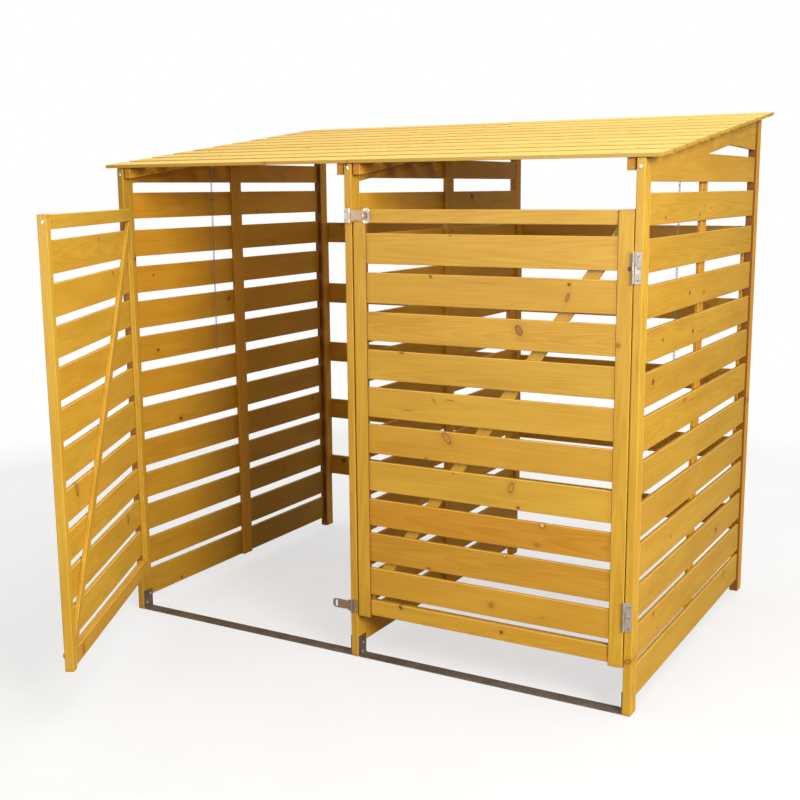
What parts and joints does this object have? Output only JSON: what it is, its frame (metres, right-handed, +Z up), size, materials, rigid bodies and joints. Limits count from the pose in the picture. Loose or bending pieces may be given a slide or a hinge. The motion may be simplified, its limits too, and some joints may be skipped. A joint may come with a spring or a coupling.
{
  "type": "wheelie bin store",
  "caption": "Double slatted timber store for wheelie bins, with a slatted divider, hasped front doors and sloping slatted lids hinged at the rear, each with a hanging chain.",
  "frame": {"origin": "centre of the middle front post's foot, on the ground", "axes": "+X to the right along the front seen from the front, +Y from the doors to the back, +Z up"},
  "size_m": [1.376, 1.4491, 1.2347],
  "materials": {
    "stained_wood": "golden stained planed softwood, satin",
    "roof_wood": "golden stained planed softwood, satin, sunlit",
    "zinc_steel": "dull bright zinc plate",
    "strap_steel": "dull grey steel strip"
  },
  "bodies": {
    "frame": {"back_end_battens": "stained_wood", "divider_batten": "stained_wood", "divider_boards": "stained_wood", "divider_top_rails": "stained_wood", "door_hinge_post_leaves": "zinc_steel", "front_left_post": "stained_wood", "front_middle_post": "stained_wood", "front_right_post": "stained_wood", "hinge_and_hasp_screws": "zinc_steel", "hinge_pins": "zinc_steel", "left_back_boards": "stained_wood", "left_floor_strap": "strap_steel", "left_side_batten": "stained_wood", "left_side_boards": "stained_wood", "left_side_top_rails": "stained_wood", "lid_hinge_rail_leaves": "zinc_steel", "lower_hasp_plate": "zinc_steel", "post_face_screws": "zinc_steel", "rear_left_post": "stained_wood", "rear_middle_post": "stained_wood", "rear_right_post": "stained_wood", "rear_top_rails": "stained_wood", "right_back_boards": "stained_wood", "right_floor_strap": "strap_steel", "right_side_batten": "stained_wood", "right_side_boards": "stained_wood", "right_side_top_rails": "stained_wood", "strap_screws": "zinc_steel", "upper_hasp_plate": "zinc_steel"},
    "left_door": {"left_door_boards": "stained_wood", "left_door_brace": "stained_wood", "left_door_hinge_leaves": "zinc_steel", "left_door_rails": "stained_wood", "left_door_screws": "zinc_steel", "left_door_staple_plate": "zinc_steel", "left_door_stiles": "stained_wood"},
    "right_door": {"right_door_boards": "stained_wood", "right_door_brace": "stained_wood", "right_door_hinge_leaves": "zinc_steel", "right_door_rails": "stained_wood", "right_door_screws": "zinc_steel", "right_door_staple_plate": "zinc_steel", "right_door_stiles": "stained_wood"},
    "left_lid": {"left_chain_eye": "zinc_steel", "left_lid_bearers": "stained_wood", "left_lid_fixings": "zinc_steel", "left_lid_hinge_leaves": "zinc_steel", "left_lid_slats": "roof_wood"},
    "right_lid": {"right_chain_eye": "zinc_steel", "right_lid_bearers": "stained_wood", "right_lid_fixings": "zinc_steel", "right_lid_hinge_leaves": "zinc_steel", "right_lid_slats": "roof_wood"},
    "upper_hasp": {"upper_hasp_strap": "zinc_steel"},
    "lower_hasp": {"lower_hasp_strap": "zinc_steel"},
    "upper_staple": {"upper_turn_staple": "zinc_steel"},
    "lower_staple": {"lower_turn_staple": "zinc_steel"},
    "left_chain": {"left_chain": "zinc_steel"},
    "right_chain": {"right_chain": "zinc_steel"}
  },
  "joints": [
    {"name": "left_door_hinge", "type": "hinge", "parent": "frame", "child": "left_door", "pos_m": [-0.6365, -0.0203, 0.5], "axis": [0, 0, -1], "range_deg": [-62.2, 107.8]},
    {"name": "right_door_hinge", "type": "hinge", "parent": "frame", "child": "right_door", "pos_m": [0.6365, -0.0203, 0.5], "axis": [0, 0, 1], "range_deg": [0, 170]},
    {"name": "left_lid_hinge", "type": "hinge", "parent": "frame", "child": "left_lid", "pos_m": [-0.34, 0.8753, 1.22502], "axis": [-1, 0, 0], "range_deg": [0, 96]},
    {"name": "right_lid_hinge", "type": "hinge", "parent": "frame", "child": "right_lid", "pos_m": [0.34, 0.8753, 1.22502], "axis": [-1, 0, 0], "range_deg": [0, 96]},
    {"name": "upper_hasp_hinge", "type": "hinge", "parent": "frame", "child": "upper_hasp", "pos_m": [0.005, -0.0208, 1], "axis": [0, 0, -1], "range_deg": [0, 170]},
    {"name": "lower_hasp_hinge", "type": "hinge", "parent": "frame", "child": "lower_hasp", "pos_m": [-0.005, -0.0208, 0.1215], "axis": [0, 0, 1], "range_deg": [0, 170]},
    {"name": "upper_staple_turn", "type": "hinge", "parent": "right_door", "child": "upper_staple", "pos_m": [0.045, -0.0225, 1], "axis": [0, -1, 0], "range_deg": [0, 90]},
    {"name": "lower_staple_turn", "type": "hinge", "parent": "left_door", "child": "lower_staple", "pos_m": [-0.36258, -0.54456, 0.1215], "axis": [-0.8846, -0.4664, 0], "range_deg": [0, 90]},
    {"name": "left_chain_swing", "type": "hinge", "parent": "left_lid", "child": "left_chain", "pos_m": [-0.6255, 0.3025, 1.11086], "axis": [-1, 0, 0], "range_deg": [-96, 0]},
    {"name": "right_chain_swing", "type": "hinge", "parent": "right_lid", "child": "right_chain", "pos_m": [0.6255, 0.3025, 1.11086], "axis": [-1, 0, 0], "range_deg": [-96, 0]}
  ],
  "couplings": [
    {"joint": "left_chain_swing", "follows": "left_lid_hinge", "ratio": -1},
    {"joint": "right_chain_swing", "follows": "right_lid_hinge", "ratio": -1}
  ]
}
